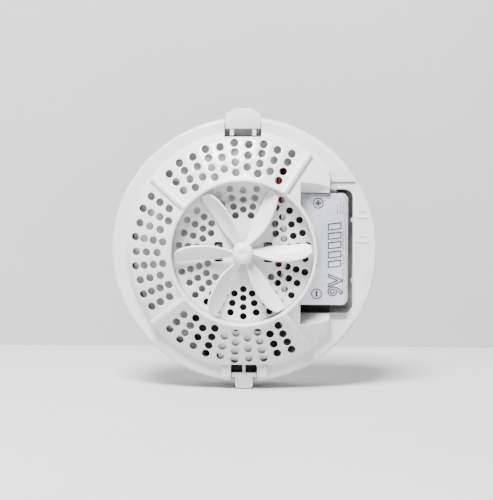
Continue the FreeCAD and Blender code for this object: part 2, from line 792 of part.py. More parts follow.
def motor_magnet(first):
    inner, span, back, front = MAGNET
    return sector(MOTOR_R - MOTOR_WALL, inner, first, first + span, back, front)


def motor_cradle():
    """A cup under the motor with two snap arms that reach into the grille's windows."""
    cup = tube(CRADLE_R, MOTOR_R + 0.1, CRADLE_BACK, CRADLE_FRONT)
    cup = cup.fuse(tube(CRADLE_R, CRADLE_SEAT_R, CRADLE_BACK, MOTOR_BACK - 0.05))
    radius, reach, front = CRADLE_LEG
    legs = [rod(radius, BOARD_FRONT, front, *polar(reach, angle)) for angle in (45, 135, 225, 315)]
    arms = []
    for side in (-1, 1):
        corners = [point(side * x, -CRADLE_ARM_HALF, d) for x, d in CRADLE_ARM]
        face = Part.Face(Part.makePolygon(corners + corners[:1]))
        arms.append(face.extrude(point(0, 2 * CRADLE_ARM_HALF, 0)))
    return joined([cup] + legs + arms)


# --- battery bay ---
def battery_bay():
    """An open box for the battery, with pads on its floor and two short ribs on its right wall."""
    left, right = BAY_LEFT - BAY_WALL, BAY_RIGHT + BAY_WALL
    outer = box(left, right, BAY_LOW - BAY_WALL, BAY_TOP + BAY_WALL, BAY_BACK, BAY_FRONT)
    inner = box(BAY_LEFT, BAY_RIGHT, BAY_LOW, BAY_TOP, BAY_FLOOR, BIG)
    outer = outer.common(rod(BAY_ROUND_R + BAY_CORNER_THICK, 0, BIG))
    bay = outer.cut(inner.common(rod(BAY_ROUND_R, 0, BIG)))
    x0, x1, tall, gap = BAY_PAD
    extras = [box(x0, x1, y, y + tall, BAY_FLOOR - 0.5, BATTERY_BACK - gap) for y in BAY_PAD_LOWS]
    for y in BAY_RIB_LOWS:
        extras.append(box(BAY_RIB_IN, BAY_RIGHT + 0.5, y, y + BAY_RIB_TALL, BAY_RIB_BACK, BAY_FRONT))
    return joined([bay] + extras)


def battery_foam():
    """The black foam strip that the battery's lower end presses against."""
    gap = 0.05
    left, low, back = BAY_LEFT + 2 * gap, BAY_LOW + gap, BAY_FLOOR + gap
    return box(left, FOAM_RIGHT, low, BATTERY_LOW - FOAM_GAP, back, FOAM_FRONT)


def bay_partition():
    """The upright wall between the fan's duct and the battery, with a lip on its front edge."""
    low, high, front = PARTITION
    reach, thick = PARTITION_LIP
    left = BAY_LEFT - BAY_WALL
    wall = box(left, BAY_LEFT, low, high, BAY_FRONT, front)
    return joined([wall, box(left, BAY_LEFT + reach, low, high, front - thick, front)])


def duct_liner():
    """Black felt liner between the grille and the battery."""
    radius, right, half, thick = LINER
    front = PARTITION[2]
    return rod(radius, front - thick, front).common(box(BAY_LEFT + 1.0, right, -half, half, 0, BIG))


def rounded_block(inset):
    """The battery's block with its long edges and its shoulders rounded, drawn in by inset."""
    outer = box(
        BATTERY_LEFT + inset,
        BATTERY_RIGHT - inset,
        BATTERY_LOW + inset,
        BATTERY_TOP - inset,
        BATTERY_BACK + inset,
        BATTERY_FRONT - inset,
    )
    tall = [e for e in outer.Edges if e.BoundBox.YLength > BATTERY_TALL - 1]
    deep = [e for e in outer.Edges if e.BoundBox.ZLength > BATTERY_DEEP - 1]
    across = outer.makeFillet(BATTERY_ROUND - inset, tall)
    return across.common(outer.makeFillet(BATTERY_SHOULDER - inset, deep))


def battery_label(can):
    """The printed film round the can, open at both ends."""
    film = rounded_block(0).cut(can)
    margin = BATTERY_SHOULDER
    end_window = box(
        BATTERY_LEFT + margin,
        BATTERY_RIGHT - margin,
        BATTERY_LOW - 1,
        BATTERY_TOP + 1,
        BATTERY_BACK + margin,
        BATTERY_FRONT - margin,
    )
    return film.cut(end_window)


def snap_rod(radius, x, low, tall):
    """An upright rod on top of the battery, low above the can's top."""
    foot = point(x, BATTERY_TOP - LABEL_THICK + low, BATTERY_MID)
    return Part.makeCylinder(radius, tall, foot, point(0, 1, 0))


def positive_snap(x):
    """The round stud, with a waist for the contact's spring."""
    low, tall, deep = SNAP_WAIST
    ring = snap_rod(SNAP_STUD_R, x, low, tall).cut(snap_rod(SNAP_STUD_R - deep, x, low, tall))
    return snap_rod(SNAP_STUD_R, x, 0, SNAP_TALL).cut(ring)


def negative_snap(x):
    """The open socket."""
    cup = snap_rod(SNAP_SOCKET_R, x, 0, SNAP_TALL)
    return cup.cut(snap_rod(SNAP_SOCKET_BORE_R, x, SNAP_FLOOR, SNAP_TALL))


def contact_block():
    left, right, low, back, front = CONTACT_BLOCK
    return box(left, right, low, BAY_TOP - 0.05, back, front)


def leaf_contact(x):
    low, front = CONTACT_BLOCK[2], CONTACT_BLOCK[4]
    return box(x - CONTACT_HALF, x + CONTACT_HALF, low - CONTACT_THICK, low, CONTACT_BACK, front)


# --- electronics ---
def circuit_board():
    board = rod(BOARD_R, BOARD_BACK, BOARD_FRONT).common(box(-BIG, BOARD_RIGHT, -BIG, BIG, 0, BIG))
    for x, y in POSTS:
        board = board.cut(rod(POST_NECK_R + FIT_GAP, 0, BIG, x, y))
    return board


def air_baffle():
    """The pale plate under the dome that keeps the fan's air away from the electronics."""
    right, low = BAFFLE_CORNER
    outline = box(-BIG, BOARD_RIGHT, -BIG, BIG, 0, BIG).fuse(box(0, right, low, BIG, 0, BIG))
    plate = rod(BAFFLE_R, BAFFLE_BACK, BAFFLE_BACK + BAFFLE_THICK).common(outline)
    plate = plate.cut(rod(CHAMBER_R + 1.0, 0, BIG, *CHAMBER))
    plate = plate.cut(box(CHAMBER[0], BIG, -BIG, CHAMBER[1] - 6.5, 0, BIG))
    plate = plate.cut(rod(MOTOR_HOLE_R, 0, BIG))
    for x, y in POSTS:
        plate = plate.cut(rod(POST_BORE_R + FIT_GAP, 0, BIG, x, y))
    return plate


def baffle_screws():
    back = BAFFLE_BACK + BAFFLE_THICK
    front = back + SCREW_HEAD_TALL
    screws = []
    for x, y in POSTS:
        slot = box(x - 3, x + 3, y - SCREW_SLOT_HALF, y + SCREW_SLOT_HALF, front - SCREW_SLOT_DEEP, BIG)
        head = rod(SCREW_HEAD_R, back, front, x, y).cut(slot)
        screws.append(head.fuse(rod(POST_BORE_R, SCREW_TIP, back, x, y)))
    return Part.makeCompound(screws)


def chamber_base():
    base = rod(CHAMBER_R, CHAMBER_BACK, CHAMBER_FLOOR, *CHAMBER)
    return base.fuse(rod(CHAMBER_FOOT_R, BOARD_FRONT, CHAMBER_BACK, *CHAMBER))


def chamber_cover():
    """The lid of the smoke chamber with its ring of slanted light traps."""
    x, y = CHAMBER
    step, sunk, proud = CHAMBER_CAP
    half_thick, half_long, lean, reach = VANE
    lid = rod(CHAMBER_R, CHAMBER_FRONT - CHAMBER_LID, CHAMBER_FRONT, x, y)
    cap = rod(CHAMBER_R - step, CHAMBER_FRONT - sunk, CHAMBER_FRONT + proud, x, y)
    vane = box(-half_thick, half_thick, -half_long, half_long, CHAMBER_FLOOR, CHAMBER_FRONT - 1.2)
    vane = moved(around(vane, lean), reach, 0)
    vanes = [moved(around(vane, turn * 360 / VANES), x, y) for turn in range(VANES)]
    return joined([lid, cap] + vanes)


def insect_screen():
    inner = CHAMBER_R + SCREEN_IN
    return tube(inner + SCREEN_THICK, inner, CHAMBER_FLOOR, CHAMBER_FRONT - CHAMBER_LID, *CHAMBER)


def optic(dx, dy, angle):
    """A small lens package lying on the chamber floor and looking at its middle."""
    x, y = CHAMBER[0] + dx, CHAMBER[1] + dy
    radius, reach, middle, half, front = OPTIC
    lens = Part.makeCylinder(radius, reach, point(x, y, middle), point(*polar(1, angle), 0))
    return lens.fuse(box(x - half, x + half, y - half, y + half, CHAMBER_FLOOR + 0.05, front))


def sounder_housing():
    x, y = SOUNDER
    roof = SOUNDER_FRONT - SOUNDER_WALL
    cup = rod(SOUNDER_R, BOARD_FRONT, SOUNDER_FRONT, x, y)
    cup = cup.cut(rod(SOUNDER_R - SOUNDER_WALL, BOARD_FRONT - 1, roof, x, y))
    return cup.cut(rod(SOUNDER_HOLE_R, roof - 1, BIG, x, y))


def sounder_disc():
    back, front = SOUNDER_DISC
    return rod(SOUNDER_R - SOUNDER_WALL - 0.1, back, front, *SOUNDER)


def sounder_seat():
    outer = SOUNDER_R - SOUNDER_WALL - 0.1
    return tube(outer, outer - SOUNDER_SEAT_WIDE, BOARD_FRONT, SOUNDER_DISC[0], *SOUNDER)


def capacitor(x, y, radius, height):
    body = rod(radius, BOARD_FRONT, BOARD_FRONT + height, x, y)
    rims = [e for e in body.Edges if e.BoundBox.ZMin > BOARD_FRONT + height - 0.01]
    return body.makeFillet(0.5, rims)


def controller_chip():
    left, right, low, high, stand, tall = CHIP
    body = box(left, right, low, high, BOARD_FRONT + stand, BOARD_FRONT + tall)
    pins = []
    for step in range(CHIP_PINS):
        x0 = left + 0.5 + step * PIN_PITCH
        x1 = x0 + 2 * PIN_HALF
        pins.append(box(x0, x1, low - 1.2, low - 1.2 + PIN_LONG, BOARD_FRONT, BOARD_FRONT + PIN_TALL))
        pins.append(box(x0, x1, high + 1.2 - PIN_LONG, high + 1.2, BOARD_FRONT, BOARD_FRONT + PIN_TALL))
    return joined([body] + pins)


def resistor(step):
    """A small resistor lying on the board, with its two bent leads."""
    x = (step - 2) * RESISTOR_PITCH
    low, high = RESISTOR_LOW, RESISTOR_LOW + RESISTOR_LONG
    middle = BOARD_FRONT + RESISTOR_R
    wire = RESISTOR_WIRE
    pieces = [Part.makeCylinder(RESISTOR_R, RESISTOR_LONG, point(x, low, middle), point(0, 1, 0))]
    for y in (low - 1.1, high + 0.6):
        pieces.append(box(x - wire, x + wire, y, y + 2 * wire, BOARD_FRONT, middle + 0.2))
    for y in (low - 0.7, high - 0.2):
        pieces.append(box(x - wire, x + wire, y, y + 0.9, middle - wire, middle + wire))
    return joined(pieces)


def latch_housing():
    """A white block just behind the lowest holes of the dome."""
    left, right, low, high, back = HOUSING
    under_dome = Part.makeSphere(DOME_SPHERE_R - DOME_WALL - HOUSING_GAP, point(0, 0, DOME_CENTRE))
    inside = rod(DOME_INSIDE_R - HOUSING_GAP, 0, BIG).common(under_dome)
    return inside.common(box(left, right, low, high, back, BIG))


# --- latches, button and lamp ---
def flat_line(start, end):
    return Part.LineSegment(point(*start, 0), point(*end, 0)).toShape()


def flat_arc(start, middle, end):
    return Part.Arc(point(*start, 0), point(*middle, 0), point(*end, 0)).toShape()


def top_latch():
    """A tab with a rounded top on two spring arms."""
    left, right = TAB_MIDDLE - TAB_HALF, TAB_MIDDLE + TAB_HALF
    flat_left, flat_right = TAB_MIDDLE - TAB_FLAT, TAB_MIDDLE + TAB_FLAT
    reach, bend = TAB_BEND
    outline = [
        flat_line((left, TAB_SIDE_TOP), (left, TAB_LOW)),
        flat_line((left, TAB_LOW), (right, TAB_LOW)),
        flat_line((right, TAB_LOW), (right, TAB_SIDE_TOP)),
        flat_arc((right, TAB_SIDE_TOP), (TAB_MIDDLE + reach, bend), (flat_right, TAB_TOP)),
        flat_line((flat_right, TAB_TOP), (flat_left, TAB_TOP)),
        flat_arc((flat_left, TAB_TOP), (TAB_MIDDLE - reach, bend), (left, TAB_SIDE_TOP)),
    ]
    tab = Part.Face(Part.Wire(outline)).extrude(point(0, 0, TAB_THICK))
    pieces = [moved(tab, 0, 0, FLANGE_BACK + 0.2)]
    back, front = FLANGE_BACK + 0.3, FLANGE_FRONT - 0.2
    for x in TAB_ARMS:
        pieces.append(box(x - TAB_ARM_HALF, x + TAB_ARM_HALF, TAB_ARM_LOW, TAB_LOW + 0.5, back, front))
    return joined(pieces)


def bottom_latch():
    """A narrow tongue below a bar, on one spring arm between the two dark windows."""
    back = FLANGE_BACK + 0.2
    bar_half, bar_low, bar_high = LATCH_BAR
    bar = box(-bar_half, bar_half, bar_low, bar_high, back, FLANGE_FRONT + 0.3)
    stem_half, stem_low, round_tip = LATCH_STEM
    stem = box(-stem_half, stem_half, stem_low, bar_low + 0.3, back, FLANGE_FRONT)
    tip = [e for e in stem.Edges if e.BoundBox.YMax < stem_low + 0.1 and e.BoundBox.ZLength > 1]
    stem = stem.makeFillet(round_tip, tip)
    arm_half, arm_high = LATCH_ARM
    arm = box(-arm_half, arm_half, bar_high - 0.2, arm_high, back + 0.1, FLANGE_FRONT - 0.2)
    return joined([bar, stem, arm])


def radial(shape, angle, depth):
    """Turn a piece drawn upright about the axis until it lies along a radius."""
    piece = shape.copy()
    piece.rotate(point(0, 0, 0), point(0, 1, 0), 90)
    piece.translate(point(0, 0, depth))
    return around(piece, angle)


def test_button():
    cap = rod(BUTTON_R, BUTTON_COLLAR[1], BUTTON_FACE)
    rim = [e for e in cap.Edges if e.BoundBox.ZMin > BUTTON_FACE - 0.1]
    cap = cap.makeFillet(0.6, rim)
    return radial(joined([cap, rod(*BUTTON_COLLAR), rod(*BUTTON_STEM)]), BUTTON_ANGLE, BUTTON_DEPTH)


def test_switch():
    return radial(rod(*SWITCH_LUG).fuse(box(*SWITCH_BODY)), BUTTON_ANGLE, BUTTON_DEPTH)


def light_pipe():
    pipe = rod(*PIPE)
    tip = [e for e in pipe.Edges if e.BoundBox.ZMin > PIPE[2] - 0.1]
    return radial(pipe.makeFillet(PIPE[0] / 2, tip), LED_ANGLE, BUTTON_DEPTH)


def status_led():
    pieces = [rod(*LED_BULB), rod(*LED_COLLAR)]
    for y in (-LED_LEG_Y, LED_LEG_Y):
        low = LED_COLLAR[1] + 0.1
        pieces.append(box(0.5, BUTTON_DEPTH - BOARD_FRONT, y - 0.2, y + 0.2, low, low + 0.4))
    return radial(joined(pieces), LED_ANGLE, BUTTON_DEPTH)


# --- wires ---
def red_wire():
    """From the positive contact over the bay, down beside the fan's duct and to the board."""
    start = POSITIVE_X
    depth = CONTACT_BACK + 3
    beside = BOARD_RIGHT - 1
    corners = [
        (start, BAY_TOP + BAY_WALL, depth),
        (start, RED_TOP, depth),
        (RED_X, RED_TOP, depth),
        (RED_X, RED_TOP, RED_D),
        (RED_X - 0.1, -10.0, RED_D),
        (RED_X - 0.1, -10.0, 16.0),
        (beside, -10.0, 12.6),
        (beside, -10.0, BOARD_FRONT),
    ]
    return wire_tube(corners, WIRE_R, 2 * WIRE_R)


def black_wire():
    start = NEGATIVE_X
    end = BOARD_RIGHT - 1.6
    corners = [
        (start, BAY_TOP + BAY_WALL, BLACK_D),
        (start, RED_TOP - 1, BLACK_D),
        (end, RED_TOP - 1, BLACK_D),
        (end, RED_TOP - 1, BOARD_FRONT),
    ]
    return wire_tube(corners, WIRE_R, 2 * WIRE_R)


def motor_lead(side):
    return rod(LEAD_R, BOARD_FRONT, MOTOR_BACK, side * LEAD_X, LEAD_Y)


def all_parts():
    """Every node with its shape."""
    can = rounded_block(LABEL_THICK)
    parts = {
        "mounting_plate": mounting_plate(),
        "rear_shell": rear_shell(),
        "front_cover": front_cover(),
        "fan_grille": fan_grille(),
        "impeller": impeller(),
        "motor_shaft": motor_shaft(),
        "motor_armature": motor_armature(),
        "motor_can": motor_can(),
        "motor_bush": motor_bush(),
        "motor_end_cap": motor_end_cap(),
        "motor_cradle": motor_cradle(),
        "battery_bay": battery_bay(),
        "battery_foam": battery_foam(),
        "bay_partition": bay_partition(),
        "duct_liner": duct_liner(),
        "battery_can": can,
        "battery_label": battery_label(can),
        "battery_positive": positive_snap(POSITIVE_X),
        "battery_negative": negative_snap(NEGATIVE_X),
        "contact_block": contact_block(),
        "contact_positive": leaf_contact(POSITIVE_X),
        "contact_negative": leaf_contact(NEGATIVE_X),
        "circuit_board": circuit_board(),
        "air_baffle": air_baffle(),
        "baffle_screws": baffle_screws(),
        "chamber_base": chamber_base(),
        "chamber_cover": chamber_cover(),
        "insect_screen": insect_screen(),
        "ir_emitter": optic(-8.0, 0.0, 0),
        "photodiode": optic(5.5, -5.8, 134),
        "sounder_housing": sounder_housing(),
        "sounder_seat": sounder_seat(),
        "sounder_disc": sounder_disc(),
        "capacitor_large": capacitor(-19.5, 28.0, 4.0, 9.0),
        "capacitor_small": capacitor(-14.0, 36.0, 2.5, 7.0),
        "controller_chip": controller_chip(),
        "latch_housing": latch_housing(),
        "top_latch": top_latch(),
        "bottom_latch": bottom_latch(),
        "test_button": test_button(),
        "test_switch": test_switch(),
        "light_pipe": light_pipe(),
        "status_led": status_led(),
        "red_wire": red_wire(),
        "black_wire": black_wire(),
    }
    for number, first in enumerate(MAGNET_STARTS, 1):
        parts[f"motor_magnet_{number}"] = motor_magnet(first)
    for number, side in enumerate((-1, 1), 1):
        parts[f"motor_lead_{number}"] = motor_lead(side)
    for step in range(RESISTORS):
        parts[f"resistor_{step + 1}"] = resistor(step)
    return parts


os.makedirs("parts", exist_ok=True)
for node, shape in all_parts().items():
    save(node, shape)
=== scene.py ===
import json
import math
import bmesh
import bpy
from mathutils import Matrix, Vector


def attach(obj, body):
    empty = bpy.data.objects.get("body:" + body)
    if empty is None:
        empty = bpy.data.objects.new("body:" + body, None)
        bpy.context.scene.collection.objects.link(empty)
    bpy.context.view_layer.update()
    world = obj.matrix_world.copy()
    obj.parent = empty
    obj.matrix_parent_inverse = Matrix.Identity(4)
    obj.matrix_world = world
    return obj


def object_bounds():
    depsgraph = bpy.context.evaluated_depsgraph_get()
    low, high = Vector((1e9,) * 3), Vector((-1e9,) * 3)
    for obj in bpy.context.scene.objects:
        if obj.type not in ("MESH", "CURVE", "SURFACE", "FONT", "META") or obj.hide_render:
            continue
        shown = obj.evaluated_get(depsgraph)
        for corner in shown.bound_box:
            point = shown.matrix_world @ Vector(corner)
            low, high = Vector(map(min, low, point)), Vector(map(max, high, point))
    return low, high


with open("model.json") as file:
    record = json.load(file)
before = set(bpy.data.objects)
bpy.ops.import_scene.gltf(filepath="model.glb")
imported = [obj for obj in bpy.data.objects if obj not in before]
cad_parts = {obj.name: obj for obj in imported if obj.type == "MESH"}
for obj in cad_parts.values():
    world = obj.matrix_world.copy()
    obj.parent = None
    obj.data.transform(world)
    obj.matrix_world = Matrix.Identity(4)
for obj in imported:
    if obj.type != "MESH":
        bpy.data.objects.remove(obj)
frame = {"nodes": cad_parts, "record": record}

# The detector hangs on the wall plane Y = 0 and looks along -Y. +Z is up. All lengths are metres.
CAD_LOW, CAD_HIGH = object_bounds()
MM = 0.001
NODES = frame["nodes"]

# --- camera and studio: angles in degrees, powers in watts ---
CAMERA_SIDE = 2.2
CAMERA_RISE = 5.2
CAMERA_AWAY = 0.85
VIEW_WIDTH = 0.2089
SENSOR = 36.0
AIM = Vector((0.0011, -0.025, 0.0003))
STAGE_REACH = 3.0
WALL_BACK = 0.105
FLOOR_GAP = 0.3 * MM
LIGHTS = {
    "key": {"place": (-0.16, -0.50, 0.84), "size": (0.42, 0.32), "power": 47},
    "fill_left": {"place": (-1.2, -0.9, 0.35), "size": (0.9, 0.9), "power": 0.8},
    "fill_right": {"place": (1.2, -0.9, 0.25), "size": (0.9, 0.9), "power": 0.4},
    "back": {"place": (0.25, 1.05, 0.75), "size": (0.5, 0.4), "power": 14},
}
AIR_COLOUR = (0.97, 0.98, 1.0, 1)
AIR_STRENGTH = 0.075

# --- edges: widths in metres, the angle in degrees ---
EDGE_WIDTHS = {
    "front_cover": 0.18 * MM,
    "fan_grille": 0.12 * MM,
    "mounting_plate": 0.25 * MM,
    "rear_shell": 0.2 * MM,
}
USUAL_EDGE = 0.12 * MM
WELD_REACH = 0.002 * MM
SHARP_ANGLE = 32

# --- print on the battery: numbers without MM are millimetres as seen from the front ---
LABEL_FACE = -28.5 * MM
INK_LIFT = 0.02 * MM
RING_STEPS = 40
RING = {"outer": 2.25, "inner": 1.8}
PLUS = (31.0, 20.2)
MINUS = (30.4, -17.6)
SIGN_ARM = 1.25
SIGN_STROKE = 0.42
GAUGE = {"bars": 5, "low": -6.8, "step": 3.9, "height": 2.9, "left": 35.0, "right": 40.7}
GAUGE_STROKE = 0.5
GAUGE_SLANTS = (0.7, 0.6)
FINE_LINE_WIDTH = 0.22
FINE_LINES = ((38.9, 15.8, 4.2), (40.2, 15.8, 6.6), (41.2, 15.8, 5.2))
SIDE_LINE_WIDTH = 0.25
SIDE_LINES = ((41.2, -17.5, 11.0), (41.2, -5.3, 4.5), (41.2, 0.5, 8.0))
LETTERS = {"words": "9V", "foot": 41.0, "start": -18.6, "height": 8.2}
LETTER_OUTLINE = 0.38
LETTER_FACE = -0.1

# --- colours and noise scales: a larger scale gives finer marks, heights in metres ---
WHITE = (0.70, 0.70, 0.695, 1)
WHITE_SHADE = (0.665, 0.665, 0.66, 1)
NOISE_LOW = 0.35
NOISE_HIGH = 0.65
FLOW_MARKS = 45
UNEVEN_GLOSS = 320
FINE_GRAIN = 2600
GRAIN_HEIGHT = 0.00001
DRAWN_LINES = 420
LINE_HEIGHT = 0.000008
BAND_WIDTH = 0.6 * MM
STAGE_CLOUDS = 6
STAGE_GLOSS = 60


# --- material helpers ---
class Paint:
    """A Principled material with short calls for its procedural inputs."""

    def __init__(self, name):
        self.material = bpy.data.materials.new(name)
        self.material.use_nodes = True
        self.tree = self.material.node_tree
        self.shader = self.tree.nodes["Principled BSDF"]
        self.place = self.tree.nodes.new("ShaderNodeTexCoord").outputs["Object"]

    def link(self, source, target):
        self.tree.links.new(source, target)

    def set(self, **values):
        for name, value in values.items():
            self.shader.inputs[name.replace("_", " ")].default_value = value

    def noise(self, scale, detail=3.0, stretch=(1, 1, 1)):
        mapping = self.tree.nodes.new("ShaderNodeMapping")
        mapping.inputs["Scale"].default_value = stretch
        self.link(self.place, mapping.inputs["Vector"])
        node = self.tree.nodes.new("ShaderNodeTexNoise")
        node.inputs["Scale"].default_value = scale
        node.inputs["Detail"].default_value = detail
        self.link(mapping.outputs["Vector"], node.inputs["Vector"])
        return node.outputs["Fac"]

    def colour(self, value, first, second, start=NOISE_LOW, end=NOISE_HIGH):
        ramp = self.tree.nodes.new("ShaderNodeValToRGB")
        ramp.color_ramp.elements[0].position = start
        ramp.color_ramp.elements[0].color = first
        ramp.color_ramp.elements[1].position = end
        ramp.color_ramp.elements[1].color = second
        self.link(value, ramp.inputs["Fac"])
        self.link(ramp.outputs["Color"], self.shader.inputs["Base Color"])

    def rough(self, value, low, high):
        node = self.tree.nodes.new("ShaderNodeMapRange")
        node.inputs["From Min"].default_value = NOISE_LOW
        node.inputs["From Max"].default_value = NOISE_HIGH
        node.inputs["To Min"].default_value = low
        node.inputs["To Max"].default_value = high
        self.link(value, node.inputs["Value"])
        self.link(node.outputs["Result"], self.shader.inputs["Roughness"])

    def bump(self, value, height):
        node = self.tree.nodes.new("ShaderNodeBump")
        node.inputs["Distance"].default_value = height
        self.link(value, node.inputs["Height"])
        self.link(node.outputs["Normal"], self.shader.inputs["Normal"])

    def one_sided(self):
        """Seen from behind, the surface isn't there, so that a backdrop never hides the object."""
        nodes = self.tree.nodes
        mix = nodes.new("ShaderNodeMixShader")
        self.link(nodes.new("ShaderNodeNewGeometry").outputs["Backfacing"], mix.inputs[0])
        self.link(self.shader.outputs["BSDF"], mix.inputs[1])
        self.link(nodes.new("ShaderNodeBsdfTransparent").outputs["BSDF"], mix.inputs[2])
        self.link(mix.outputs["Shader"], nodes["Material Output"].inputs["Surface"])


def moulded(name, light, dark, rough=(0.38, 0.5), grain=FINE_GRAIN, height=GRAIN_HEIGHT):
    """Injection-moulded plastic: faint flow marks, fine grain and uneven gloss."""
    paint = Paint(name)
    paint.colour(paint.noise(FLOW_MARKS, 4), dark, light)
    paint.rough(paint.noise(UNEVEN_GLOSS, 3), *rough)
    paint.bump(paint.noise(grain, 2), height)
    return paint


def brushed(name, light, dark, rough=(0.28, 0.42), stretch=(1, 1, 30)):
    """Metal with fine drawn lines."""
    paint = Paint(name)
    paint.set(Metallic=1.0)
    lines = paint.noise(DRAWN_LINES, 4, stretch)
    paint.colour(lines, dark, light)
    paint.rough(lines, *rough)
    paint.bump(lines, LINE_HEIGHT)
    return paint


def white_plastic():
    paint = moulded("white_abs", WHITE, WHITE_SHADE, rough=(0.24, 0.36))
    paint.set(IOR=1.52, Subsurface_Weight=0.04, Subsurface_Scale=0.002)
    return paint.material


def fan_plastic():
    light, dark = (0.74, 0.74, 0.735, 1), (0.70, 0.70, 0.695, 1)
    paint = moulded("fan_white", light, dark, rough=(0.3, 0.42), grain=1800)
    paint.set(IOR=1.5, Subsurface_Weight=0.05, Subsurface_Scale=0.002)
    return paint.material


def inner_plastic():
    # Painted shade: a darker copy of the white plastic, so that the inside parts seen through the grille
    # read as shaded.
    light, dark = (0.60, 0.60, 0.59, 1), (0.54, 0.54, 0.53, 1)
    return moulded("inner_white_painted_shade", light, dark, rough=(0.5, 0.65)).material


def black_plastic():
    light, dark = (0.012, 0.012, 0.013, 1), (0.006, 0.006, 0.007, 1)
    return moulded("black_abs", light, dark, rough=(0.45, 0.62)).material


def grey_plastic():
    light, dark = (0.30, 0.30, 0.31, 1), (0.24, 0.24, 0.25, 1)
    return moulded("grey_nylon", light, dark, rough=(0.42, 0.58)).material


def felt():
    light, dark = (0.010, 0.010, 0.011, 1), (0.004, 0.004, 0.004, 1)
    paint = moulded("black_felt", light, dark, rough=(0.85, 0.98), grain=5200, height=0.00006)
    paint.set(Sheen_Weight=0.15)
    return paint.material


def foam():
    """Open-cell foam: dull and pitted."""
    # The pad is real foam; its near-black also paints the deep shade in the gap under the battery.
    light, dark = (0.016, 0.016, 0.017, 1), (0.004, 0.004, 0.004, 1)
    return moulded("black_foam_and_painted_shade", light, dark, rough=(0.9, 1.0), grain=1900, height=0.0002).material


def battery_film():
    """Printed silver film: a faint blue cast with slow cloudy bands, lighter and darker, that paint
    sheen onto it, and a soft shine.
    """
    paint = Paint("silver_film")
    paint.set(Metallic=0.5, Coat_Weight=0.3, Coat_Roughness=0.12)
    # Painted sheen: slow lighter and darker bands of silver in the base colour.
    painted_sheen = paint.noise(26, 2, stretch=(2.2, 1, 1))
    paint.colour(painted_sheen, (0.50, 0.515, 0.56, 1), (0.70, 0.715, 0.75, 1))
    paint.rough(paint.noise(160, 3), 0.24, 0.36)
    paint.bump(paint.noise(900, 2), 0.000012)
    return paint.material


def battery_ink():
    """Dark blue-grey ink: slightly uneven."""
    light, dark = (0.030, 0.033, 0.05, 1), (0.018, 0.02, 0.032, 1)
    return moulded("grey_ink", light, dark, rough=(0.3, 0.42), grain=1500).material


def battery_ink_pale():
    light, dark = (0.36, 0.38, 0.43, 1), (0.30, 0.32, 0.37, 1)
    return moulded("pale_ink", light, dark, rough=(0.28, 0.4), grain=1500).material


def circuit_board():
    """Solder mask over tracks: raised streaks, paler than the board between them."""
    paint = Paint("solder_mask")
    tracks = paint.noise(210, 0, stretch=(1, 1, 6))
    paint.colour(tracks, (0.012, 0.10, 0.045, 1), (0.03, 0.19, 0.09, 1), start=0.47, end=0.53)
    paint.rough(paint.noise(500, 2), 0.28, 0.4)
    paint.bump(tracks, 0.00004)
    return paint.material


def woven_wire():
    light, dark = (0.20, 0.20, 0.21, 1), (0.04, 0.04, 0.045, 1)
    return brushed("woven_wire", light, dark, rough=(0.35, 0.5), stretch=(1, 1, 1)).material


def clear_plastic():
    light, dark = (0.93, 0.95, 0.95, 1), (0.88, 0.90, 0.91, 1)
    paint = moulded("clear_acrylic", light, dark, rough=(0.04, 0.12), grain=900)
    paint.set(Transmission_Weight=0.9, IOR=1.49)
    return paint.material


def lens(name, light, dark):
    paint = moulded(name, light, dark, rough=(0.12, 0.2), grain=900)
    paint.set(Coat_Weight=0.4)
    return paint.material


def insulation(name, light, dark):
    """Soft PVC: slightly glossy, with a little waviness along the wire."""
    paint = moulded(name, light, dark, rough=(0.32, 0.45), grain=700, height=0.00002)
    paint.set(Coat_Weight=0.15)
    return paint.material


def resistor_coat():
    """Beige lacquer with generic colour bands across the body."""
    paint = Paint("resistor_lacquer")
    split = paint.tree.nodes.new("ShaderNodeSeparateXYZ")
    paint.link(paint.place, split.inputs["Vector"])
    wave = paint.tree.nodes.new("ShaderNodeMath")
    wave.operation = "PINGPONG"
    wave.inputs[1].default_value = BAND_WIDTH
    paint.link(split.outputs["Z"], wave.inputs[0])
    brown, beige = (0.25, 0.07, 0.03, 1), (0.55, 0.44, 0.28, 1)
    paint.colour(wave.outputs[0], brown, beige, start=0.00018, end=0.0002)
    paint.rough(paint.noise(600, 2), 0.35, 0.5)
    paint.bump(paint.noise(1500, 2), 0.00001)
    return paint.material


def metal(name, light, dark, rough=(0.28, 0.42)):
    return brushed(name, light, dark, rough).material


def ferrite():
    light, dark = (0.05, 0.05, 0.055, 1), (0.025, 0.025, 0.03, 1)
    return moulded("ferrite", light, dark, rough=(0.6, 0.8), grain=1400).material


def chip_epoxy():
    light, dark = (0.02, 0.02, 0.022, 1), (0.012, 0.012, 0.013, 1)
    return moulded("epoxy", light, dark, rough=(0.5, 0.65)).material


